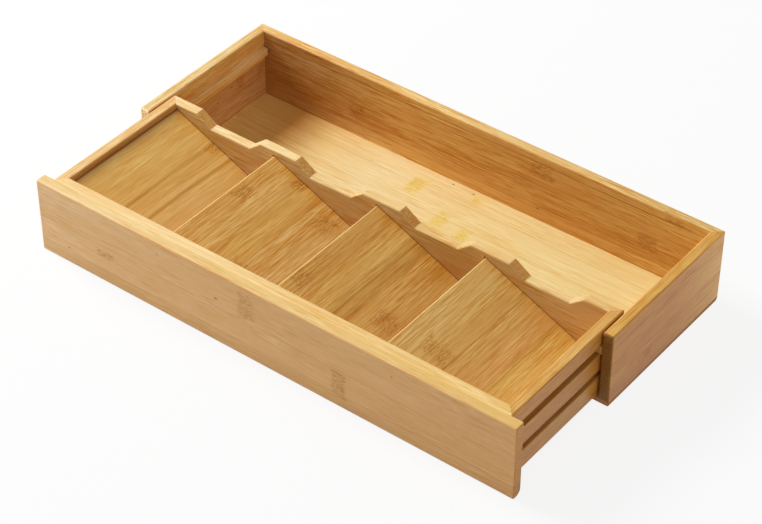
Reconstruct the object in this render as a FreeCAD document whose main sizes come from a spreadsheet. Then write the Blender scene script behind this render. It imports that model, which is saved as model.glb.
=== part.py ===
"""Utensil caddy: a shallow tray, open at the front, and a drawer of sloping compartments that slides in it.

Millimetres, +Z up, the caddy's length along X and the drawer pulling out towards -Y. The origin is under the
middle of the caddy on the surface it stands on, with the drawer drawn out by pull_out.
Tray pieces are drawn from the tray's front edge (y = 0), drawer pieces from the face of the front panel (y = 0).
"""
import FreeCAD, Part
import os
import re
import Sketcher

# The driving dimensions. Each one can be changed by itself.
SIZES = {
    # The caddy
    "overall_width": 400,
    "overall_height": 60,
    "tray_depth": 135,
    "pull_out": 97.5,
    # Boards
    "tray_floor_thickness": 4,
    "tray_side_thickness": 8,
    "tray_back_thickness": 8,
    "front_panel_thickness": 8,
    "inner_front_thickness": 8,
    "drawer_side_thickness": 8,
    "notched_wall_thickness": 8,
    "drawer_floor_thickness": 3,
    "divider_thickness": 4,
    # Room round the drawer
    "side_gap": 1.2,
    "rear_gap": 2.5,
    "drawer_lift": 1,
    # Rails, and the grooves that run on them
    "rail_height": 6,
    "rail_reach": 4.5,
    "rail_drop": 15.5,
    "rail_end_gap": 1.5,
    "rail_rest_gap": 0.2,
    "rail_play_below": 0.8,
    "rail_play_sideways": 0.7,
    "lower_groove_height": 6,
    "lower_groove_depth": 2,
    "lower_groove_centre": 23.5,
    # Drawer floor, let into the four drawer walls
    "floor_lip": 1.5,
    "floor_housing": 3,
    # Sloping dividers, let into the inner front and the notched wall
    "divider_drop": 3.7,
    "divider_overlap": 5.6,
    "divider_floor_gap": 0.3,
    "dado_depth": 3,
    "dado_overrun": 1.2,
    # Finger notches, one for each compartment
    "notch_depth": 8.3,
    "notch_start": 19,
    "notch_fall": 12.8,
    "notch_rise": 10.4,
    "notch_end": 12.8,
    # Roundings
    "edge_round": 1.2,
    "notch_round": 1.5,
    "divider_round": 0.8,
    "wall_end_round": 2,
    "panel_heel_round": 5,
    "tray_heel_round": 3.5,
}

COMPARTMENTS = 4

# Sizes and places that follow from the driving dimensions.
WORKED = {
    "total_depth": "front_panel_thickness + pull_out + tray_depth",
    "half_width": "overall_width / 2",
    "tray_inside": "half_width - tray_side_thickness",
    "tray_back_front": "tray_depth - tray_back_thickness",
    "drawer_half": "tray_inside - side_gap",
    "drawer_inside": "drawer_half - drawer_side_thickness",
    "drawer_back": "front_panel_thickness + tray_back_front - rear_gap",
    "drawer_bottom": "tray_floor_thickness + drawer_lift",
    "well_front": "front_panel_thickness + inner_front_thickness",
    "well_back": "drawer_back - notched_wall_thickness",
    "rail_bottom": "overall_height - rail_drop - rail_height / 2",
    "rail_top": "rail_bottom + rail_height",
    "groove_depth": "rail_reach - side_gap + rail_play_sideways",
    "floor_bottom": "drawer_bottom + floor_lip",
    "floor_top": "floor_bottom + drawer_floor_thickness",
    "divider_pitch": f"(2 * drawer_inside - divider_overlap) / {COMPARTMENTS}",
    "divider_run": "divider_pitch + divider_overlap",
    "divider_head": "overall_height - divider_drop",
    "divider_foot": "floor_top + divider_floor_gap",
    "divider_fall": "divider_head - divider_foot",
    # Fall over run of a board whose upper face starts at the head and whose lower face ends at the foot.
    "divider_slope": "(divider_fall * divider_run - divider_thickness"
                     " * sqrt(divider_fall ^ 2 + divider_run ^ 2 - divider_thickness ^ 2))"
                     " / (divider_run ^ 2 - divider_thickness ^ 2)",
    "divider_plumb": "divider_thickness * sqrt(1 + divider_slope ^ 2)",
    "notch_bottom": "overall_height - notch_depth",
    "notch_left": "notch_start - drawer_inside",
    "notch_flat": "divider_pitch - notch_start - notch_fall - notch_rise - notch_end",
}

ORIGIN = -1
START = 1
END = 2
TOUCH = 0.01
# Sketch planes: the side of the origin that a positive offset moves them to.
OFFSET_SIGN = {"XY_Plane": 1, "XZ_Plane": -1}

document = FreeCAD.newDocument("UtensilCaddy")
sheet = document.addObject("Spreadsheet::Sheet", "Sizes")
for row, (alias, size) in enumerate(SIZES.items(), 1):
    sheet.set(f"A{row}", alias)
    sheet.set(f"B{row}", str(size))
    sheet.setAlias(f"B{row}", alias)
document.recompute()

pieces = []


def bound(formula):
    """The formula as an expression of the spreadsheet's cells, with the worked sizes written out."""
    def written_out(found):
        name = found.group()
        if name in WORKED:
            return f"({bound(WORKED[name])})"
        return f"Sizes.{name}" if name in SIZES else name
    return re.sub(r"[a-z_]+", written_out, formula)


def value(formula):
    """What the formula comes to now."""
    return float(sheet.evalExpression(bound(formula)))


def new_piece(name, front, left="0"):
    """An empty body named after its piece. front and left place its own origin in the caddy."""
    piece = document.addObject("PartDesign::Body", name)
    piece.Label = name
    piece.setExpression("Placement.Base.x", bound(left))
    piece.setExpression("Placement.Base.y", bound(front))
    pieces.append(piece)
    return piece


def tray_piece(name):
    return new_piece(name, "front_panel_thickness + pull_out - total_depth / 2")


def drawer_piece(name, left="0"):
    return new_piece(name, "-total_depth / 2", left)


def sketch(piece, name, plane, offset, corners):
    """A closed outline through the corners, on one of the body's own planes, offset along +Y or +Z."""
    drawn = piece.newObject("Sketcher::SketchObject", name)
    support = next(feature for feature in piece.Origin.OriginFeatures if feature.Role == plane)
    drawn.AttachmentSupport = [(support, "")]
    drawn.MapMode = "FlatFace"
    drawn.setExpression("AttachmentOffset.Base.z", bound(f"{OFFSET_SIGN[plane]} * ({offset})"))
    places = [FreeCAD.Vector(value(across), value(up), 0) for across, up in corners]
    for place, following in zip(places, places[1:] + places[:1]):
        drawn.addGeometry(Part.LineSegment(place, following), False)
    for line, (across, up) in enumerate(corners):
        following = (line + 1) % len(corners)
        drawn.addConstraint(Sketcher.Constraint("Coincident", line, END, following, START))
        for kind, formula in (("DistanceX", across), ("DistanceY", up)):
            distance = Sketcher.Constraint(kind, ORIGIN, START, line, START, value(formula))
            number = drawn.addConstraint(distance)
            drawn.setExpression(f"Constraints[{number}]", bound(formula))
    return drawn


def rectangle(across, up):
    return [(across[0], up[0]), (across[1], up[0]), (across[1], up[1]), (across[0], up[1])]


def pad(piece, drawn, plane, length):
    """Extrudes the outline towards +Y or +Z."""
    solid = piece.newObject("PartDesign::Pad", "Board")
    solid.Profile = drawn
    solid.Reversed = OFFSET_SIGN[plane] < 0
    solid.setExpression("Length", bound(length))
    document.recompute()
    return solid


def pocket(piece, drawn, plane, depth=None):
    """Cuts the outline away towards +Y or +Z, right through unless a depth is given."""
    before = piece.Shape.Volume
    cut = piece.newObject("PartDesign::Pocket", drawn.Name + "Cut")
    cut.Profile = drawn
    cut.Reversed = OFFSET_SIGN[plane] > 0
    if depth is None:
        cut.Type = "ThroughAll"
    else:
        cut.setExpression("Length", bound(depth))
    document.recompute()
    if piece.Shape.Volume >= before:
        raise RuntimeError(f"{cut.Label} cuts nothing from {piece.Label}")
    return cut


def repeat_per_compartment(piece, cut, drawn):
    """Repeats a cut along X, once for each compartment."""
    pattern = piece.newObject("PartDesign::LinearPattern", cut.Name + "Pattern")
    pattern.Originals = [cut]
    pattern.Direction = (drawn, ["H_Axis"])
    pattern.Occurrences = COMPARTMENTS
    pattern.setExpression("Length", bound(f"{COMPARTMENTS - 1} * divider_pitch"))
    piece.Tip = pattern
    document.recompute()


def lies_on(edge, place):
    """Whether the edge lies in every plane of place, such as {"y": 0, "z": 60}, and above its "over" height."""
    box = edge.BoundBox
    spans = {"x": (box.XMin, box.XMax), "y": (box.YMin, box.YMax), "z": (box.ZMin, box.ZMax)}
    for axis, where in place.items():
        if axis == "over":
            if box.ZMin < where - TOUCH:
                return False
        elif max(abs(end - where) for end in spans[axis]) > TOUCH:
            return False
    return True


def fillet(piece, radius, *places):
    """Rounds the edges that lie on any of the places, whose planes are given as formulas."""
    wanted = [{axis: value(str(formula)) for axis, formula in place.items()} for place in places]
    base = piece.Tip
    names = [
        f"Edge{number}"
        for number, edge in enumerate(base.Shape.Edges, 1)
        if any(lies_on(edge, place) for place in wanted)
    ]
    rounding = piece.newObject("PartDesign::Fillet", "Rounding")
    rounding.Base = (base, names)
    rounding.setExpression("Radius", bound(radius))
    document.recompute()


def board(piece, x, y, z):
    """A plain rectangular board between two places on each axis."""
    outline = sketch(piece, "Outline", "XY_Plane", z[0], rectangle(x, y))
    pad(piece, outline, "XY_Plane", f"{z[1]} - ({z[0]})")


def mitre(piece, outer, inner, keeps_x_board):
    """Cuts a board's end along the line from a box's outer corner to its inner corner.

    keeps_x_board is true on a board that runs along X, and false on one that runs along Y.
    """
    past_outer = [f"2 * ({out}) - ({into})" for out, into in zip(outer, inner)]
    past_inner = [f"2 * ({into}) - ({out})" for out, into in zip(outer, inner)]
    if keeps_x_board:
        waste = (past_outer[0], past_inner[1])
    else:
        waste = (past_inner[0], past_outer[1])
    drawn = sketch(piece, "Mitre", "XY_Plane", "0", [past_outer, past_inner, waste])
    pocket(piece, drawn, "XY_Plane")


def runner_grooves(piece, side):
    """The groove that runs on the rail and the shallow one below it, along the drawer's outer face."""
    grooves = {
        "RailGroove": ("groove_depth", "rail_bottom - rail_play_below", "rail_top + rail_rest_gap"),
        "LowerGroove": (
            "lower_groove_depth",
            "lower_groove_centre - lower_groove_height / 2",
            "lower_groove_centre + lower_groove_height / 2",
        ),
    }
    for name, (depth, bottom, top) in grooves.items():
        across = (f"{side} * (drawer_half - {depth})", f"{side} * (drawer_half + {depth})")
        drawn = sketch(piece, name, "XZ_Plane", "0", rectangle(across, (bottom, top)))
        pocket(piece, drawn, "XZ_Plane")


def divider_outline(overrun):
    """Section of a divider: plumb ends, falling towards +X. overrun lengthens it past its head."""
    rise = f"{overrun} * divider_slope"
    return [
        (f"-({overrun})", f"divider_head + {rise}"),
        ("divider_run", "divider_foot + divider_plumb"),
        ("divider_run", "divider_foot"),
        (f"-({overrun})", f"divider_head - divider_plumb + {rise}"),
    ]


def divider_dadoes(piece, face):
    """Housings for the dividers' ends, each open a little past the divider's head."""
    outline = [(f"{across} - drawer_inside", up) for across, up in divider_outline("dado_overrun")]
    drawn = sketch(piece, "Dado", "XZ_Plane", face, outline)
    repeat_per_compartment(piece, pocket(piece, drawn, "XZ_Plane", "dado_depth"), drawn)


def tray_floor():
    piece = tray_piece("tray_floor")
    board(piece, ("-half_width", "half_width"), ("0", "tray_depth"), ("0", "tray_floor_thickness"))
    fillet(piece, "min(tray_heel_round; tray_floor_thickness * 0.9)", {"y": "tray_depth", "z": 0})
    front = {"y": 0, "z": 0}
    uprights = [{"x": x, "y": y} for x in ("-half_width", "half_width") for y in ("0", "tray_depth")]
    bottoms = [{"x": x, "z": 0} for x in ("-half_width", "half_width")]
    fillet(piece, "edge_round", front, *uprights, *bottoms)


def tray_back():
    piece = tray_piece("tray_back")
    board(
        piece, ("-half_width", "half_width"), ("tray_back_front", "tray_depth"),
        ("tray_floor_thickness", "overall_height"),
    )
    tops = [{"y": y, "z": "overall_height"} for y in ("tray_back_front", "tray_depth")]
    ends = [{"x": x, "z": "overall_height"} for x in ("-half_width", "half_width")]
    uprights = [{"x": x, "y": "tray_depth"} for x in ("-half_width", "half_width")]
    fillet(piece, "edge_round", *tops, *ends, *uprights)
    for side in (-1, 1):
        corner = (f"{side} * half_width", "tray_depth")
        mitre(piece, corner, (f"{side} * tray_inside", "tray_back_front"), True)


def tray_side(name, side):
    piece = tray_piece(name)
    outer = f"{side} * half_width"
    inner = f"{side} * tray_inside"
    board(piece, (outer, inner), ("0", "tray_depth"), ("tray_floor_thickness", "overall_height"))
    fillet(piece, "min(wall_end_round; tray_side_thickness * 0.9)", {"y": 0, "z": "overall_height"})
    fronts = [{"x": x, "y": 0} for x in (outer, inner)]
    tops = [{"x": x, "z": "overall_height"} for x in (outer, inner)]
    back = [{"x": outer, "y": "tray_depth"}, {"y": "tray_depth", "z": "overall_height"}]
    fillet(piece, "edge_round", *fronts, *tops, *back)
    mitre(piece, (outer, "tray_depth"), (inner, "tray_back_front"), False)


def rail(name, side):
    """A strip glued along the inside of a tray side, that carries the drawer."""
    piece = tray_piece(name)
    nose = f"{side} * (tray_inside - rail_reach)"
    board(piece, (f"{side} * tray_inside", nose), ("0", "tray_back_front - rail_end_gap"), ("rail_bottom", "rail_top"))
    fillet(piece, "min(edge_round; rail_height / 4) / 2", *[{"x": nose, "z": z} for z in ("rail_bottom", "rail_top")])


def front_panel():
    piece = drawer_piece("front_panel")
    board(piece, ("-half_width", "half_width"), ("0", "front_panel_thickness"), ("0", "overall_height"))
    fillet(piece, "min(panel_heel_round; front_panel_thickness * 0.7)", {"y": "front_panel_thickness", "z": 0})
    ends = [{"x": x} for x in ("-half_width", "half_width")]
    fronts = [{"y": 0, "z": z} for z in ("0", "overall_height")]
    fillet(piece, "edge_round", *ends, *fronts)


def inner_front():
    piece = drawer_piece("inner_front")
    board(
        piece, ("-drawer_half", "drawer_half"), ("front_panel_thickness", "well_front"),
        ("drawer_bottom", "overall_height"),
    )
    ends = [{"x": x, "z": z} for x in ("-drawer_half", "drawer_half") for z in ("drawer_bottom", "overall_height")]
    fillet(piece, "edge_round", {"y": "well_front", "z": "overall_height"}, *ends)
    for side in (-1, 1):
        corner = (f"{side} * drawer_half", "front_panel_thickness")
        mitre(piece, corner, (f"{side} * drawer_inside", "well_front"), True)
    floor_groove(piece, ("-drawer_half", "drawer_half"), ("well_front - floor_housing", "well_front + floor_housing"))
    for side in (-1, 1):
        runner_grooves(piece, side)
    divider_dadoes(piece, "well_front - dado_depth")


def floor_groove(piece, x, y):
    """The groove that the drawer's floor is let into."""
    drawn = sketch(piece, "FloorGroove", "XY_Plane", "floor_bottom", rectangle(x, y))
    pocket(piece, drawn, "XY_Plane", "drawer_floor_thickness")


def drawer_side(name, side):
    piece = drawer_piece(name)
    outer = f"{side} * drawer_half"
    inner = f"{side} * drawer_inside"
    ends = ("front_panel_thickness", "drawer_back")
    board(piece, (outer, inner), ends, ("drawer_bottom", "overall_height"))
    longs = [{"x": outer, "z": "overall_height"}, {"x": inner, "z": "overall_height"}, {"x": outer, "z": "drawer_bottom"}]
    back = [{"y": "drawer_back", "z": z} for z in ("drawer_bottom", "overall_height")]
    fillet(piece, "edge_round", *longs, *back, {"x": outer, "y": "drawer_back"})
    mitre(piece, (outer, "front_panel_thickness"), (inner, "well_front"), False)
    mitre(piece, (outer, "drawer_back"), (inner, "well_back"), False)
    floor_groove(piece, (f"{side} * (drawer_inside - floor_housing)", f"{side} * (drawer_inside + floor_housing)"), ends)
    runner_grooves(piece, side)


def notched_wall():
    """The drawer's back: a finger notch over each compartment, and the dividers' ends let into its front."""
    piece = drawer_piece("notched_wall")
    board(
        piece, ("-drawer_half", "drawer_half"), ("well_back", "drawer_back"),
        ("drawer_bottom", "overall_height"),
    )
    finger_notches(piece)
    faces = ("well_back", "drawer_back")
    tops = [{"y": y, "over": "notch_bottom"} for y in faces]
    ends = [{"x": x, "z": z} for x in ("-drawer_half", "drawer_half") for z in ("drawer_bottom", "overall_height")]
    back = [{"x": x, "y": "drawer_back"} for x in ("-drawer_half", "drawer_half")]
    fillet(piece, "edge_round", *tops, *ends, *back, {"y": "drawer_back", "z": "drawer_bottom"})
    for side in (-1, 1):
        mitre(piece, (f"{side} * drawer_half", "drawer_back"), (f"{side} * drawer_inside", "well_back"), True)
    floor_groove(piece, ("-drawer_half", "drawer_half"), ("well_back - floor_housing", "well_back + floor_housing"))
    for side in (-1, 1):
        runner_grooves(piece, side)
    divider_dadoes(piece, "well_back")


def finger_notches(piece):
    """Flat-bottomed notches with sloping sides, cut through the top edge, their corners softened."""
    sill_left = "notch_left + notch_fall"
    sill_right = f"{sill_left} + notch_flat"
    right = f"{sill_right} + notch_rise"
    clear = "overall_height + notch_depth"
    outline = [
        ("notch_left", clear), ("notch_left", "overall_height"), (sill_left, "notch_bottom"),
        (sill_right, "notch_bottom"), (right, "overall_height"), (right, clear),
    ]
    drawn = sketch(piece, "Notch", "XZ_Plane", "0", outline)
    repeat_per_compartment(piece, pocket(piece, drawn, "XZ_Plane"), drawn)
    corners = [
        {"x": f"{x} + {number} * divider_pitch", "z": z}
        for number in range(COMPARTMENTS)
        for x, z in ((sill_left, "notch_bottom"), (sill_right, "notch_bottom"),
                     ("notch_left", "overall_height"), (right, "overall_height"))
    ]
    fillet(piece, "notch_round", *corners)


def drawer_floor():
    piece = drawer_piece("drawer_floor")
    half = "(drawer_inside + floor_housing)"
    board(
        piece, (f"-{half}", half), ("well_front - floor_housing", "well_back + floor_housing"),
        ("floor_bottom", "floor_top"),
    )


def slanted_panel(number):
    """A divider that slopes down from left to right and makes a compartment's slanting bed."""
    piece = drawer_piece(f"slanted_panel_{number + 1}", f"{number} * divider_pitch - drawer_inside")
    drawn = sketch(piece, "Section", "XZ_Plane", "well_front - dado_depth", divider_outline("0"))
    pad(piece, drawn, "XZ_Plane", "well_back - well_front + 2 * dado_depth")
    fillet(piece, "divider_round", {"x": 0, "z": "divider_head"})


def check():
    """Stops if any object failed or any piece is not one valid solid."""
    for thing in document.Objects:
        if "Invalid" in thing.State or "Error" in thing.State:
            raise RuntimeError(f"{thing.Label} failed: {thing.State}")
    for piece in pieces:
        shape = piece.Shape
        if shape.isNull() or not shape.isValid() or len(shape.Solids) != 1:
            raise RuntimeError(f"{piece.Label} is not one valid solid")


tray_floor()
tray_back()
drawer_floor()
front_panel()
inner_front()
notched_wall()
for end, side in (("left", -1), ("right", 1)):
    tray_side(f"tray_{end}_side", side)
    rail(f"{end}_rail", side)
    drawer_side(f"drawer_{end}_side", side)
for number in range(COMPARTMENTS):
    slanted_panel(number)
document.recompute()
check()

os.makedirs("parts", exist_ok=True)
for piece in pieces:
    piece.Shape.exportStep(f"parts/{piece.Label}.step")
    box = piece.Shape.BoundBox
    print(f"{piece.Label:20s} {piece.Shape.Volume:10.1f} mm3  {box}")
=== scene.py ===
import math

import bpy
from mathutils import Matrix, Vector


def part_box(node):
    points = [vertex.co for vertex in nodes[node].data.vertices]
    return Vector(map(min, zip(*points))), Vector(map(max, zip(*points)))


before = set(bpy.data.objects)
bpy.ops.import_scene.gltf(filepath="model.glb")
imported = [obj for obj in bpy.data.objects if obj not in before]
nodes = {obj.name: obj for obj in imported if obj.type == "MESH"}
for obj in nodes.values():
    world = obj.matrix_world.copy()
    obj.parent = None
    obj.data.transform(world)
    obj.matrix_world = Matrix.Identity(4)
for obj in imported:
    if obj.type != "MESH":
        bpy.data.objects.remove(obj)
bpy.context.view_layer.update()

MM = 0.001


def linear(red, green, blue):
    """A colour given as it looks on a screen, 0 to 255, as the linear colour that Blender mixes."""
    def channel(level):
        level /= 255
        return level / 12.92 if level <= 0.04045 else ((level + 0.055) / 1.055) ** 2.4
    return (channel(red), channel(green), channel(blue), 1.0)


class Signal:
    """An output socket in a material's node tree. Arithmetic on it adds Math nodes."""

    def __init__(self, tree, socket=None):
        self.tree = tree
        self.socket = socket

    def node(self, kind, inputs, output=0, stops=None, **settings):
        """Adds a node: its settings first, then the values or links of its input sockets."""
        added = self.tree.nodes.new(kind)
        for name, setting in settings.items():
            setattr(added, name, setting)
        if stops is not None:
            elements = added.color_ramp.elements
            while len(elements) < len(stops):
                elements.new(1.0)
            while len(elements) > len(stops):
                elements.remove(elements[-1])
            for element, (position, colour) in zip(elements, stops):
                element.position = position
                element.color = colour
        for name, given in inputs.items():
            if isinstance(given, Signal):
                self.tree.links.new(given.socket, added.inputs[name])
            else:
                added.inputs[name].default_value = given
        return Signal(self.tree, added.outputs[output] if added.outputs else None)

    def math(self, operation, *values):
        return self.node("ShaderNodeMath", dict(enumerate(values)), operation=operation)

    def __add__(self, other):
        return self.math("ADD", self, other)

    __radd__ = __add__

    def __sub__(self, other):
        return self.math("SUBTRACT", self, other)

    def __rsub__(self, other):
        return self.math("SUBTRACT", other, self)

    def __mul__(self, other):
        return self.math("MULTIPLY", self, other)

    __rmul__ = __mul__

    def __truediv__(self, other):
        return self.math("DIVIDE", self, other)

    def __rtruediv__(self, other):
        return self.math("DIVIDE", other, self)

    def __abs__(self):
        return self.math("ABSOLUTE", self)

    def smaller(self, other):
        return self.math("MINIMUM", self, other)

    def larger(self, other):
        return self.math("MAXIMUM", self, other)

    def parts(self):
        """The three axes of a vector."""
        split = self.node("ShaderNodeSeparateXYZ", {"Vector": self}).socket.node
        return [Signal(self.tree, split.outputs[axis]) for axis in "XYZ"]

    def rise(self, low, high):
        """0 below low and 1 above high, with a soft step between. It falls instead if high is under low."""
        return self.node(
            "ShaderNodeMapRange",
            {"Value": self, "From Min": low, "From Max": high},
            interpolation_type="SMOOTHSTEP",
        )


# The Mix node's colour sockets come after its number and vector ones.
MIX_AMOUNT, MIX_FIRST, MIX_SECOND, MIX_RESULT = 0, 6, 7, 2


def blend(amount, first, second, kind="MIX"):
    """Colours mixed by an amount from 0 to 1."""
    source = next(given for given in (amount, first, second) if isinstance(given, Signal))
    inputs = {MIX_AMOUNT: amount, MIX_FIRST: first, MIX_SECOND: second}
    return source.node("ShaderNodeMix", inputs, MIX_RESULT, data_type="RGBA", blend_type=kind)


def stained(amount, colour, stain):
    """A colour multiplied by a stain, as far as the amount from 0 to 1 says."""
    return blend(amount, colour, stain, "MULTIPLY")


def object_place(tree):
    """A point's place in its board's own space, in metres, by axis. At rest it is the place in the caddy."""
    return dict(zip("XYZ", tree.node("ShaderNodeTexCoord", {}, "Object").parts()))


def object_normal(tree):
    """The way that a point's face looks in its board's own space, by axis."""
    return dict(zip("XYZ", tree.node("ShaderNodeTexCoord", {}, "Normal").parts()))


# How far each seed moves the noise along its three directions.
SEED_STEPS = (17.3, 31.7, 53.9)


def noise(tree, place, scales, seed, detail=2.0, roughness=0.5):
    """Noise from about 0 to 1, with its own scale, in waves per mm, along each direction of place."""
    offsets = [seed * step for step in SEED_STEPS]
    stretched = [axis * scale + offset for axis, scale, offset in zip(place, scales, offsets)]
    vector = tree.node("ShaderNodeCombineXYZ", dict(enumerate(stretched)))
    return tree.node(
        "ShaderNodeTexNoise",
        {"Vector": vector, "Scale": 1.0, "Detail": detail, "Roughness": roughness},
    )


# For each lay of a board: the axes along the fibres, across the slats and through the thickness.
LAYS = {"x upright": "XZY", "y upright": "YZX", "x flat": "XYZ", "y flat": "YXZ"}

# Scales of the wood's figure in waves per mm: along the fibres, across the slats and through the thickness.
FIBRE_SCALE = (0.055, 1.6, 1.6)
STREAK_SCALE = (0.022, 0.7, 0.7)
BAND_SCALE = (0.008, 0.07, 0.07)
PATCH_SCALE = (0.014, 0.07, 0.07)
VESSEL_SCALE = (0.1, 2.0, 2.0)
END_PORE_SCALE = (0.6, 1.1, 1.1)
SWAY_SCALE = (0.012, 0.02, 0.02)
KNUCKLE_OUTLINE_SCALE = (0.08, 0.5, 0.5)
KNUCKLE_DASH_SCALE = (0.3, 1.3, 1.3)
# How far the figure of each slat is shifted along the fibres from that of the slat below it, in mm.
SLAT_SHIFT = 90.0

# What the light wood and the dark streaks multiply a slat's colour by. Dark streaks are redder.
DARK_STREAK = (0.82, 0.57, 0.08, 1.0)
LIGHT_STREAK = (1.18, 1.43, 1.92, 1.0)
# What each kind of mark multiplies the wood's colour by.
SEAM_STAIN = (0.80, 0.62, 0.40, 1.0)
# Dark lines are streaks in the wood, except the tray back's line, which is painted shade under its top edge.
LINE_STAIN_AND_PAINTED_SHADE = (0.74, 0.58, 0.24, 1.0)
# Dark joints are partly glue lines and partly painted shade in the narrow gaps between parts.
JOINT_STAIN_AND_PAINTED_SHADE = (0.40, 0.21, 0.08, 1.0)
# Painted shade inside the drawer's grooves.
GROOVE_PAINTED_SHADE = (0.50, 0.42, 0.34, 1.0)
# Painted shade along the bottom edges of boards that stand on the floor, for the contact shadow there.
HEEL_PAINTED_SHADE = (0.42, 0.36, 0.30, 1.0)
VESSEL_STAIN = (0.84, 0.68, 0.40, 1.0)
KNUCKLE_STAIN = (0.91, 0.81, 0.60, 1.0)
KNUCKLE_DASH = (0.68, 0.49, 0.26, 1.0)
YELLOW_STAIN = (0.94, 0.92, 0.42, 1.0)
YELLOW_DASH = (0.90, 0.82, 0.36, 1.0)
KNOT_STAIN = (0.42, 0.24, 0.12, 1.0)
END_PORE_STAIN = (0.74, 0.60, 0.42, 1.0)
# Pale edges are partly wear and partly a painted highlight where light catches the rounded edges.
WEAR_AND_PAINTED_HIGHLIGHT = (1.2, 1.14, 1.04, 1.0)
# End grain: what the end at the fibres' low side is multiplied by, and the end at their high side.
END_GRAIN = [(0.84, 0.74, 0.60, 1.0), (0.80, 0.70, 0.54, 1.0)]
# The notched wall's ends are painted light and shade: the notch slopes that face left are made paler, as if
# lit, and those that face right a deeper brown, as if in shade.
NOTCH_END_PAINTED_LIGHT_AND_SHADE = [(1.0, 1.05, 1.1, 1.0), (1.08, 0.80, 0.42, 1.0)]
# The pale end of the tray's left side is painted light: its front end is made much paler, as if lit by the
# lamps on the left.
PALE_END_GRAIN_WITH_PAINTED_LIGHT = [(1.2, 1.64, 2.8, 1.0), (1.0, 1.0, 1.0, 1.0)]
# The dark end of the tray's right side is partly its end grain and partly painted shade, for the narrow gap
# beside the drawer that its front end looks into.
DARK_END_GRAIN_AND_PAINTED_SHADE = [(0.5, 0.57, 0.65, 1.0), (0.81, 0.76, 0.78, 1.0)]
# Boards with one face of another colour: what the face on the low side is multiplied by, and the other one.
# The dark outside is painted shade on the outer faces of the left boards, which the lamps on the left light
# strongly.
PAINTED_SHADE_OUTSIDE = [(0.68, 0.70, 0.74, 1.0), (1.0, 1.0, 1.0, 1.0)]
PALE_INSIDE = [(0.92, 1.06, 1.6, 1.0), (1.0, 1.0, 1.0, 1.0)]
# The thin coat of oil on every board, over a fine relief whose depth is in metres.
OILED_GLOSS = {"Specular IOR Level": 0.35, "Coat Weight": 0.1, "Coat Roughness": 0.3}
SATIN_ROUGHNESS = 0.42
RELIEF_STRENGTH, RELIEF_DEPTH = 0.08, 0.2 * MM

# Distances in mm between which each of these fades in.
SEAM_BAND = (0.7, 0.1)
EDGE_WEAR_AND_HIGHLIGHT_BAND = (1.3, 0.3)
HEAD_WEAR_AND_HIGHLIGHT_BAND = (1.0, 0.6)
HEAD_JOINT_BAND = (2.4, 1.2)
HEEL_SHADE_BAND = (1.5, 0.3)
WALL_JOINT_BAND = (1.2, 0.4)
# Half the width in mm of the step at the edge of a slat or of a groove.
HALF_STEP = 0.1
# Levels of the noise between which each of these fades in.
PATCH_LEVELS = (0.3, 0.7)
VESSEL_LEVELS = (0.58, 0.7)
END_PORE_LEVELS = (0.5, 0.62)
KNUCKLE_DASH_LEVELS = (0.48, 0.58)
# Outlines of a knuckle, in halves of its length and width, and of a knot, in squares of its diameter.
KNUCKLE_OUTLINE = (1.15, 0.6)
KNOT_OUTLINE = (0.45, 0.05)
# Parts of a face's normal between which it counts as looking up, as end grain and as towards the high side.
LOOKS_UP = (0.9, 0.97)
LOOKS_ALONG = (0.4, 0.55)
LOOKS_TO_HIGH_END = (-0.1, 0.1)
LOOKS_TO_HIGH_SIDE = (-0.6, -0.4)

BED_SLOPE = math.radians(23.8)
# Room for the rails in the drawer's grooves, below and above, in mm.
PLAY_BELOW_RAIL, PLAY_ABOVE_RAIL = 0.8, 0.2
RAIL_BOTTOM, RAIL_TOP = (corner[2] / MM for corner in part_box("left_rail"))
# Heights of the groove that runs on the rail and of the one below it, in mm.
DRAWER_GROOVES = [(RAIL_BOTTOM - PLAY_BELOW_RAIL, RAIL_TOP + PLAY_ABOVE_RAIL), (20.5, 26.5)]
# Depths in mm between which a groove's painted shade comes in at its mouth, and ends behind its floor.
GROOVE_MOUTH, GROOVE_FLOOR = (0.4, 1.2), (4.6, 4.3)


def wood_place(tree, lay, slope, head):
    """A point's place in its board in mm: along the fibres, across the slats and through the thickness.

    A sloping board is turned level first, about y, and is measured across from its head.
    """
    point = tree.node("ShaderNodeTexCoord", {}, "Object")
    turned = tree.node("ShaderNodeMapping", {
        "Vector": point,
        "Scale": (1 / MM, 1 / MM, 1 / MM),
        "Rotation": (0.0, -slope, 0.0),
        "Location": (-head / MM, 0.0, 0.0),
    })
    axes = dict(zip("XYZ", turned.parts()))
    return [axes[axis] for axis in LAYS[lay]]


def slat_colours(across, slats, low, high):
    """Each slat's own colour. slats are (upper edge in mm, colour), from the board's low edge up."""
    starts = [low] + [edge for edge, _ in slats[:-1]]
    stops = [((start - low) / (high - low), colour) for start, (_, colour) in zip(starts, slats)]
    ramp = across.node("ShaderNodeValToRGB", {"Fac": (across - low) / (high - low)}, stops=stops)
    ramp.socket.node.color_ramp.interpolation = "CONSTANT"
    return ramp


def along_fibres(fibre, tones):
    """A colour that changes slowly along the fibres. tones are (place in mm, colour)."""
    start, end = tones[0][0], tones[-1][0]
    stops = [((place - start) / (end - start), colour) for place, colour in tones]
    return fibre.node("ShaderNodeValToRGB", {"Fac": (fibre - start) / (end - start)}, stops=stops)


def slat_shift(across, slats):
    """How far along the fibres each slat's figure is shifted, so that no two slats match."""
    shift = 0.0
    for edge, _ in slats[:-1]:
        shift = shift + SLAT_SHIFT * across.rise(edge - HALF_STEP, edge + HALF_STEP)
    return shift


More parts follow.
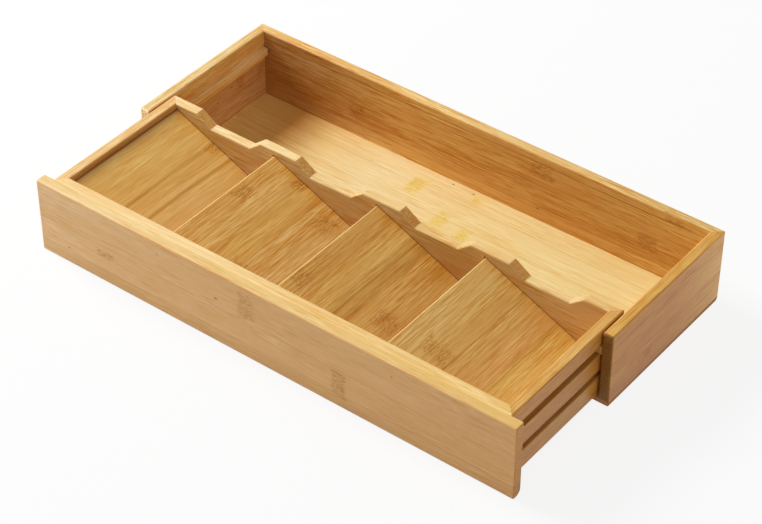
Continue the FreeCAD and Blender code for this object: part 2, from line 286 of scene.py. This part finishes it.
def figure_noises(tree, place, seed):
    """Fine fibres, wider streaks and slow bands, all about zero, and short dark vessels from 0 to 1."""
    fibres = noise(tree, place, FIBRE_SCALE, seed, roughness=0.65) - 0.5
    streaks = noise(tree, place, STREAK_SCALE, seed + 11, detail=3.0, roughness=0.7) - 0.5
    bands = noise(tree, place, BAND_SCALE, seed + 23, detail=1.0) - 0.5
    vessels = noise(tree, place, VESSEL_SCALE, seed + 37, detail=1.0).rise(*VESSEL_LEVELS)
    return fibres, streaks, bands, vessels


def seams(across, colour, slats):
    """Thin glue seams between the slats."""
    for edge, _ in slats[:-1]:
        seam = abs(across - edge).rise(*SEAM_BAND)
        colour = stained(0.45 * seam, colour, SEAM_STAIN)
    return colour


def groove_painted_shade(tree, board, colour):
    """Painted shade inside the two grooves along a drawer side's outer face."""
    low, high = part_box(board)
    place = object_place(tree)
    depth = (max(abs(low[0]), abs(high[0])) - abs(place["X"])) / MM
    height = place["Z"] / MM
    inside = depth.rise(*GROOVE_MOUTH) * depth.rise(*GROOVE_FLOOR)
    for bottom, top in DRAWER_GROOVES:
        above = height.rise(bottom - HALF_STEP, bottom + HALF_STEP)
        below = height.rise(top + HALF_STEP, top - HALF_STEP)
        colour = stained(inside * above * below, colour, GROOVE_PAINTED_SHADE)
    return colour


def near_edge(tree, board):
    """Distance in mm from the nearest edge of a board's box, for a point on one of its faces."""
    low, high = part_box(board)
    gaps = []
    for value, start, end in zip(object_place(tree).values(), low, high):
        middle, half = (start + end) / 2, (end - start) / 2
        gaps.append((half - abs(value - middle)) / MM)
    first, second, third = gaps
    return first.smaller(second).larger(first.larger(second).smaller(third))


def facing(tree, lay):
    """Masks for the faces that look straight up and for the end grain, at the fibres' ends."""
    normal = object_normal(tree)
    return normal["Z"].rise(*LOOKS_UP), abs(normal[LAYS[lay][0]]).rise(*LOOKS_ALONG)


def knuckle(tree, place, colour, spot, stain, dash, seed):
    """A culm's node across a slat: a soft stain with short darker dashes in it."""
    fibre, across, _ = place
    middle, height, length, width = spot
    wander = noise(tree, place, KNUCKLE_OUTLINE_SCALE, seed) - 0.5
    off_middle = (fibre - middle) / (0.5 * length)
    off_height = (across - height) / (0.5 * width)
    reach = abs(off_middle).larger(abs(off_height)) + 1.6 * wander
    inside = reach.rise(*KNUCKLE_OUTLINE)
    dashes = noise(tree, place, KNUCKLE_DASH_SCALE, seed + 1, roughness=0.6).rise(*KNUCKLE_DASH_LEVELS)
    colour = stained(0.5 * inside, colour, stain)
    return stained(0.8 * inside * dashes, colour, dash)


def knot(place, colour, spot):
    """A small dark knot: (place along, place across, diameter)."""
    fibre, across, _ = place
    middle, height, size = spot
    off_middle = (fibre - middle) / size
    off_height = (across - height) / (0.6 * size)
    dark = (off_middle * off_middle + off_height * off_height).rise(*KNOT_OUTLINE)
    return stained(0.8 * dark, colour, KNOT_STAIN)


def bed_edges(place, colour, fibres, against_side):
    """The pale head of a slanting panel, partly wear and partly a painted highlight where light catches its
    rounded edge, and its dark joints with the walls that it is let into, partly glue lines and partly painted
    shade.

    The first panel's head has a dark joint too, partly a glue line and partly painted shade, because it lies
    against the drawer's left side.
    """
    fibre, across, _ = place
    if against_side:
        colour = stained(0.9 * across.rise(*HEAD_JOINT_BAND), colour, JOINT_STAIN_AND_PAINTED_SHADE)
    else:
        colour = blend(0.9 * (across + 1.2 * fibres).rise(*HEAD_WEAR_AND_HIGHLIGHT_BAND), colour, BED_HEAD_WEAR_AND_HIGHLIGHT)
    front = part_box("inner_front")[1][1] / MM
    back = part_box("notched_wall")[0][1] / MM
    half = (back - front) / 2
    from_wall = half - abs(fibre - (front + half))
    # Glue line and painted shade where the panel meets the walls.
    joint = from_wall.rise(*WALL_JOINT_BAND)
    return stained(0.8 * joint, colour, JOINT_STAIN_AND_PAINTED_SHADE)


def bamboo(
    name, board, lay, slats, grain=1.0, seed=0, crown=None, tones=None, sides=None, slope=0.0, sway=3.0,
    knuckles=(), knuckle_tint=(KNUCKLE_STAIN, KNUCKLE_DASH), knots=(), lines=(), end_grain_and_painted_shading=END_GRAIN,
):
    """Satin bamboo, glued up from slats side by side.

    lay says which way the fibres run, and grain how strong the figure is. crown is the colour of faces that
    look up, and tones what the other faces' colour is multiplied by, both by place along the fibres. sides
    are what the faces that look through the thickness are multiplied by, on the low side and the high one.
    knuckles are (place along, place across, length, width), knots (place along, place across, diameter) and
    lines, which are dark streaks from end to end, (place across, half width), all in mm.
    """
    material = bpy.data.materials.new(name)
    material.use_nodes = True
    tree = Signal(material.node_tree)
    surface = material.node_tree.nodes["Principled BSDF"]
    low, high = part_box(board)
    # A sloping board's head is its upper left edge, at this place down the slope.
    head = low[0] * math.cos(slope) - high[2] * math.sin(slope) if slope else 0.0
    place = wood_place(tree, lay, slope, head)
    fibre, across, through = place
    across_axis = "XYZ".index(LAYS[lay][1])
    start = 0.0 if slope else low[across_axis] / MM
    end = slats[-1][0]

    wander = noise(tree, place, SWAY_SCALE, seed + 5, detail=1.0) - 0.5
    swayed = across + sway * wander
    place_in_slat = [fibre + slat_shift(swayed, slats), across, through]
    fibres, streaks, bands, vessels = figure_noises(tree, place_in_slat, seed)

    colour = slat_colours(swayed, slats, start, end)
    if tones is not None:
        colour = stained(1.0, colour, along_fibres(fibre, tones))
    up, ends = facing(tree, lay)
    # On the left boards the sides hold painted shade that darkens their outer faces.
    if sides is not None:
        towards_high_side = object_normal(tree)[LAYS[lay][2]].rise(*LOOKS_TO_HIGH_SIDE)
        colour = stained(1.0, colour, blend(towards_high_side, *sides))
    if crown is not None:
        colour = blend(up, colour, along_fibres(fibre, crown))
    patches = 0.5 + noise(tree, place_in_slat, PATCH_SCALE, seed + 29, detail=1.0).rise(*PATCH_LEVELS)
    figure = 0.5 + grain * (patches * (1.7 * fibres + 1.3 * streaks) + 0.7 * bands)
    colour = stained(1.0, colour, blend(figure, DARK_STREAK, LIGHT_STREAK))
    colour = stained(0.6 * grain * vessels, colour, VESSEL_STAIN)
    colour = seams(swayed, colour, slats)
    # Dark streaks in the wood; on the tray back the line is painted shade under the top edge.
    for middle, reach in lines:
        streak = abs(swayed - middle).rise(reach, 0.0) * (0.75 + 2.0 * bands)
        colour = stained(streak, colour, LINE_STAIN_AND_PAINTED_SHADE)
    for number, spot in enumerate(knuckles):
        colour = knuckle(tree, place, colour, spot, *knuckle_tint, seed + 51 + 2 * number)
    for spot in knots:
        colour = knot(place, colour, spot)

    # End grain; on some boards the ends also hold painted light and shade.
    towards_high_end = object_normal(tree)[LAYS[lay][0]].rise(*LOOKS_TO_HIGH_END)
    colour = stained(ends, colour, blend(towards_high_end, *end_grain_and_painted_shading))
    pores = noise(tree, place, END_PORE_SCALE, seed + 43).rise(*END_PORE_LEVELS)
    colour = stained(0.7 * ends * pores, colour, END_PORE_STAIN)
    if slope:
        colour = bed_edges(place, colour, fibres, against_side=board == "slanted_panel_1")
    else:
        # Partly wear, partly a painted highlight along the edges.
        worn_and_highlit = (near_edge(tree, board) + 1.6 * fibres).rise(*EDGE_WEAR_AND_HIGHLIGHT_BAND)
        colour = stained(0.5 * worn_and_highlit, colour, WEAR_AND_PAINTED_HIGHLIGHT)
    # Painted shade inside the drawer sides' grooves.
    if board in ("drawer_left_side", "drawer_right_side"):
        colour = groove_painted_shade(tree, board, colour)
    # Painted shade along the bottom edge, for the contact shadow on the floor.
    if low[2] < MM:
        heel_shade = (object_place(tree)["Z"] / MM).rise(*HEEL_SHADE_BAND)
        colour = stained(0.8 * heel_shade, colour, HEEL_PAINTED_SHADE)

    relief = 0.6 * fibres + 0.4 * streaks - 0.25 * vessels
    bump = tree.node(
        "ShaderNodeBump", {"Strength": RELIEF_STRENGTH, "Distance": RELIEF_DEPTH, "Height": relief}
    )
    rough = SATIN_ROUGHNESS + 0.25 * streaks + 0.08 * vessels + 0.15 * ends
    for socket, given in (("Base Color", colour), ("Roughness", rough), ("Normal", bump)):
        material.node_tree.links.new(given.socket, surface.inputs[socket])
    for socket, level in OILED_GLOSS.items():
        surface.inputs[socket].default_value = level
    return material


def finish(node, material):
    """Gives a CAD node its material."""
    for slot in nodes[node].material_slots:
        slot.material = material


# The slats' own colours.
WHEAT = linear(242, 188, 122)
LOW_WHEAT = linear(235, 180, 112)
LIGHT_HONEY = linear(244, 193, 106)
HONEY = linear(240, 183, 95)
RICH_HONEY = linear(238, 181, 87)
DEEP_HONEY = linear(231, 171, 80)
DARK_HONEY = linear(226, 168, 74)
LEMON_HONEY = linear(249, 207, 109)
CLEAR_HONEY = linear(240, 187, 97)
AMBER = linear(211, 154, 77)
LIGHT_AMBER = linear(219, 164, 87)
COPPER = linear(220, 163, 102)
GINGER = linear(240, 183, 102)
TOFFEE = linear(225, 157, 74)
DEEP_TOFFEE = linear(214, 146, 59)
RIM = linear(203, 139, 58)
FAWN = linear(226, 188, 123)
CREAM = linear(247, 203, 135)
# The rails' top colour is partly the wood's cream and partly painted light, raised to lift the shade that the
# tray's left side casts on the left rail's top.
RAIL_CREAM_WITH_PAINTED_LIGHT = linear(255, 208, 139)
# The panels' pale heads are partly wear and partly a painted highlight along their rounded edges.
BED_HEAD_WEAR_AND_HIGHLIGHT = linear(250, 212, 140)

# Colours of the faces that look up, by place along the board in mm.
# The tray floor's crown holds painted shade: it is darker and redder about 150 mm to the left, where the
# tray's left side casts its shadow, and it holds painted light in the left corner that lifts that shadow.
TRAY_FLOOR_CROWN_WITH_PAINTED_LIGHT_AND_SHADE = [
    (-190, linear(255, 219, 132)), (-150, linear(240, 182, 96)), (-120, linear(245, 210, 138)),
    (-70, linear(248, 226, 170)), (10, linear(245, 217, 150)), (150, linear(249, 228, 160)),
]
TRAY_BACK_CROWN = [(-200, linear(234, 187, 112)), (200, linear(230, 185, 107))]
TRAY_LEFT_CROWN = [(-15, linear(223, 183, 115)), (120, linear(223, 183, 115))]
TRAY_RIGHT_CROWN = [(-15, linear(225, 168, 74)), (120, linear(225, 168, 74))]
FRONT_PANEL_CROWN = [(-200, linear(233, 200, 138)), (200, linear(243, 198, 115))]
INNER_FRONT_CROWN = [(-190, linear(242, 208, 150)), (190, linear(251, 209, 129))]
NOTCHED_WALL_CROWN = [(-190, linear(240, 204, 142)), (190, linear(248, 205, 131))]
DRAWER_LEFT_CROWN = [(-110, linear(229, 185, 119)), (12, linear(229, 185, 119))]
DRAWER_RIGHT_CROWN = [(-110, linear(230, 175, 88)), (12, linear(230, 175, 88))]
RAIL_CROWN_WITH_PAINTED_LIGHT = [(-15, RAIL_CREAM_WITH_PAINTED_LIGHT), (111, RAIL_CREAM_WITH_PAINTED_LIGHT)]

# What the upright faces' colour is multiplied by, by place along the board in mm.
# The tray back's tones are darker at its left end: painted shade, for the shadow that the tray's left side
# casts on the back's inner face.
TRAY_BACK_TONES_WITH_PAINTED_SHADE = [
    (-190, (0.75, 0.73, 0.9, 1.0)), (-130, (0.86, 0.81, 0.88, 1.0)), (-60, (1.15, 1.17, 1.16, 1.0)),
    (20, (1.04, 0.99, 0.9, 1.0)), (90, (1.0, 0.93, 0.8, 1.0)), (190, (1.0, 1.14, 1.15, 1.0)),
]
TRAY_RIGHT_TONES = [
    (-15, (0.9, 0.84, 0.56, 1.0)), (55, (0.95, 0.86, 0.62, 1.0)), (85, (1.06, 1.10, 1.08, 1.0)),
    (120, (1.26, 1.46, 1.8, 1.0)),
]
FRONT_PANEL_TONES = [
    (-200, (1.02, 1.1, 1.22, 1.0)), (-100, (1.02, 1.07, 1.08, 1.0)), (30, (0.95, 0.94, 0.85, 1.0)),
    (200, (0.96, 0.93, 0.86, 1.0)),
]


def dress_tray():
    """Materials of the tray, whose slats run round it and lie along its floor."""
    finish("tray_floor", bamboo(
        "tray floor bamboo", "tray_floor", "x flat",
        [(30, RIM), (72, RIM), (94, RIM), (121, RIM)], grain=0.45, seed=1, crown=TRAY_FLOOR_CROWN_WITH_PAINTED_LIGHT_AND_SHADE,
        knuckles=[(-34.5, 91, 12, 22), (2.5, 70, 11, 18), (25, 66, 10, 15), (11, 103, 8, 6)],
        knuckle_tint=(YELLOW_STAIN, YELLOW_DASH), knots=[(-14, 108.6, 2.2), (4.1, 108, 2.2)],
    ))
    finish("tray_back", bamboo(
        "tray back bamboo", "tray_back", "x upright",
        [(14, LIGHT_AMBER), (38, AMBER), (60, LIGHT_AMBER)], grain=1.35, seed=2, crown=TRAY_BACK_CROWN,
        tones=TRAY_BACK_TONES_WITH_PAINTED_SHADE,
        knuckles=[(-105, 26, 14, 14), (58, 48, 20, 14), (146, 28, 16, 14), (166, 56, 16, 8)],
        # The line at 53.4 mm is painted shade just under the top edge of the back.
        knots=[(56.1, 13.9, 2.6)], lines=[(53.4, 1.1)],
    ))
    finish("tray_left_side", bamboo(
        "tray left side bamboo", "tray_left_side", "y upright",
        [(34, COPPER), (60, GINGER)], grain=1.35, seed=3, crown=TRAY_LEFT_CROWN, sides=PAINTED_SHADE_OUTSIDE,
        knuckles=[(84, 30, 10, 12), (107, 30, 8, 10)], knots=[(58, 25.6, 2.0), (74, 31, 2.0)],
        end_grain_and_painted_shading=PALE_END_GRAIN_WITH_PAINTED_LIGHT,
    ))
    finish("tray_right_side", bamboo(
        "tray right side bamboo", "tray_right_side", "y upright",
        [(26, TOFFEE), (60, TOFFEE)], grain=1.0, seed=4, crown=TRAY_RIGHT_CROWN, tones=TRAY_RIGHT_TONES,
        sides=PALE_INSIDE,
        knuckles=[(30, 16, 9, 8)], knots=[(20, 16, 1.8)], end_grain_and_painted_shading=DARK_END_GRAIN_AND_PAINTED_SHADE,
    ))
    for side, seed in (("left", 5), ("right", 6)):
        finish(f"{side}_rail", bamboo(
            f"{side} rail bamboo", f"{side}_rail", "y upright", [(47.5, CREAM)], grain=1.0, seed=seed,
            crown=RAIL_CROWN_WITH_PAINTED_LIGHT,
        ))


def dress_drawer_box():
    """Materials of the front panel and of the drawer's box behind it."""
    finish("front_panel", bamboo(
        "front panel bamboo", "front_panel", "x upright",
        [(11, LOW_WHEAT), (31, WHEAT), (60, WHEAT)], grain=0.6, seed=7, crown=FRONT_PANEL_CROWN,
        tones=FRONT_PANEL_TONES,
        knuckles=[(-139, 24, 16, 7), (-14, 44, 14, 22), (62.5, 20, 12, 22)],
        knots=[
            (-173.6, 13.8, 2.0), (-40.1, 37.9, 3.0), (-90.8, 49.5, 1.8), (105, 49.4, 1.8), (-145, 25.4, 1.8),
        ],
    ))
    finish("inner_front", bamboo(
        "inner front bamboo", "inner_front", "x upright", [(30, AMBER), (60, HONEY)], grain=0.6, seed=8,
        crown=INNER_FRONT_CROWN,
    ))
    finish("drawer_left_side", bamboo(
        "drawer left side bamboo", "drawer_left_side", "y upright",
        [(28, LIGHT_AMBER), (60, LIGHT_AMBER)], grain=1.0, seed=9, crown=DRAWER_LEFT_CROWN,
        sides=PAINTED_SHADE_OUTSIDE,
    ))
    finish("drawer_right_side", bamboo(
        "drawer right side bamboo", "drawer_right_side", "y upright",
        [(28, DEEP_TOFFEE), (60, DEEP_TOFFEE)], grain=1.0, seed=10, crown=DRAWER_RIGHT_CROWN,
        sides=PALE_INSIDE,
    ))
    finish("notched_wall", bamboo(
        "notched wall bamboo", "notched_wall", "x upright",
        [(30, FAWN), (60, FAWN)], grain=0.9, seed=12, crown=NOTCHED_WALL_CROWN, end_grain_and_painted_shading=NOTCH_END_PAINTED_LIGHT_AND_SHADE,
    ))
    finish("drawer_floor", bamboo(
        "drawer floor bamboo", "drawer_floor", "x flat",
        [(-70, HONEY), (-30, DEEP_HONEY), (8, HONEY)], seed=13,
    ))


def dress_beds():
    """Materials of the four slanting panels, measured from their heads down the slope."""
    # Each panel's slats, strength of figure, knuckles and dark lines.
    beds = [
        ([(20, CLEAR_HONEY), (48, CLEAR_HONEY), (105, LIGHT_HONEY)], 0.6,
         [(-1, 41, 10, 8)], [(37, 3.2), (54, 2.6)]),
        ([(26, HONEY), (47, RICH_HONEY), (105, LIGHT_HONEY)], 1.2,
         [(-37.5, 8, 16, 12), (1, 27, 14, 12), (-10.4, 62, 16, 17), (-88, 50, 14, 20)], [(29, 1.2)]),
        ([(16, DEEP_HONEY), (32, RICH_HONEY), (48, DARK_HONEY), (105, RICH_HONEY)], 1.35,
         [(-64, 66, 16, 22), (-84, 6, 16, 14)], [(38, 1.4)]),
        ([(16, LIGHT_HONEY), (48, CLEAR_HONEY), (64, HONEY), (105, LEMON_HONEY)], 1.05,
         [(-80, 26, 16, 22)], [(37, 1.4), (66, 1.2)]),
    ]
    for number, (slats, grain, knuckles, lines) in enumerate(beds, start=1):
        board = f"slanted_panel_{number}"
        finish(board, bamboo(
            f"slanted panel {number} bamboo", board, "y flat", slats, grain=grain, seed=20 + number,
            slope=BED_SLOPE, sway=6.0 if number == 1 else 2.0, knuckles=knuckles, lines=lines,
        ))


dress_tray()
dress_drawer_box()
dress_beds()


WHITE = (1.0, 1.0, 1.0, 1.0)
FLOOR_SIZE = 12.0
FLOOR_PAINT = (0.9, 0.9, 0.9, 1.0)
# How much of the floor's look is plain white, and how much its paint with the caddy's shadow.
FLOOR_WHITENESS = 0.87
SKY_LIGHT = 0.26
# Name, place, width and power of each lamp, in metres and watts.
SOFTBOXES = [
    ("key softbox", (-1.45, -0.11, 1.31), 0.65, 28.0),
    ("left softbox", (-2.6, 0.0, 1.17), 1.95, 34.0),
    ("right softbox", (2.0, 0.0, 0.9), 1.5, 4.7),
    ("back softbox", (0.0, 2.0, 0.9), 1.5, 1.8),
]
# The softboxes face the middle of the caddy.
LAMP_TARGET = Vector((0.0, 0.0, 0.03))
CAMERA_PLACE = Vector((0.76485, -0.98955, 1.05203))
CAMERA_AZIMUTH, CAMERA_ELEVATION, CAMERA_ROLL = (math.radians(angle) for angle in (37.5544, 39.7924, 0.1541))
# Lens and sensor width in mm.
LENS, SENSOR = 112.267, 36.0


def seen_directly(tree):
    """1 for what the camera, a reflection or a clear piece shows, 0 for the light that falls on the caddy."""
    kinds = ("Is Camera Ray", "Is Glossy Ray", "Is Transmission Ray")
    direct, mirrored, through = (tree.node("ShaderNodeLightPath", {}, kind) for kind in kinds)
    return direct.larger(mirrored).larger(through)


def floor():
    """A white floor that keeps the caddy's soft shadow."""
    bpy.ops.mesh.primitive_plane_add(size=FLOOR_SIZE)
    ground = bpy.context.object
    ground.name = "floor"
    material = bpy.data.materials.new("white floor")
    material.use_nodes = True
    material.node_tree.nodes.clear()
    tree = Signal(material.node_tree)
    paint = tree.node("ShaderNodeBsdfDiffuse", {"Color": FLOOR_PAINT})
    glow = tree.node("ShaderNodeEmission", {"Color": WHITE, "Strength": 1.0})
    mixed = tree.node("ShaderNodeMixShader", {0: FLOOR_WHITENESS * seen_directly(tree), 1: paint, 2: glow})
    tree.node("ShaderNodeOutputMaterial", {"Surface": mixed})
    ground.data.materials.append(material)


def sky(strength):
    """Even white light all round, shown as plain white."""
    world = bpy.data.worlds.new("studio")
    bpy.context.scene.world = world
    world.use_nodes = True
    world.node_tree.nodes.clear()
    tree = Signal(world.node_tree)
    level = strength + (1.0 - strength) * seen_directly(tree)
    light = tree.node("ShaderNodeBackground", {"Color": WHITE, "Strength": level})
    tree.node("ShaderNodeOutputWorld", {"Surface": light})


def softbox(name, place, width, power):
    """A square lamp that faces the caddy."""
    lamp = bpy.data.lights.new(name, "AREA")
    lamp.shape = "SQUARE"
    lamp.size = width
    lamp.energy = power
    lamp_object = bpy.data.objects.new(name, lamp)
    bpy.context.scene.collection.objects.link(lamp_object)
    lamp_object.location = place
    lamp_object.rotation_euler = (LAMP_TARGET - Vector(place)).to_track_quat("-Z", "Y").to_euler()


def camera():
    """The camera looks down on the caddy from its front right."""
    back = Vector((
        math.sin(CAMERA_AZIMUTH) * math.cos(CAMERA_ELEVATION),
        -math.cos(CAMERA_AZIMUTH) * math.cos(CAMERA_ELEVATION),
        math.sin(CAMERA_ELEVATION),
    ))
    level = Vector((0.0, 0.0, 1.0)).cross(back).normalized()
    upright = back.cross(level)
    right = level * math.cos(CAMERA_ROLL) + upright * math.sin(CAMERA_ROLL)
    up = upright * math.cos(CAMERA_ROLL) - level * math.sin(CAMERA_ROLL)
    seen = bpy.data.cameras.new("camera")
    seen.sensor_width = SENSOR
    seen.lens = LENS
    camera_object = bpy.data.objects.new("camera", seen)
    bpy.context.scene.collection.objects.link(camera_object)
    turned = Matrix((right, up, back)).transposed().to_4x4()
    camera_object.matrix_world = Matrix.Translation(CAMERA_PLACE) @ turned
    bpy.context.scene.camera = camera_object


floor()
sky(SKY_LIGHT)
for name, place, width, power in SOFTBOXES:
    softbox(name, place, width, power)
camera()
bpy.context.scene.view_settings.view_transform = "Standard"
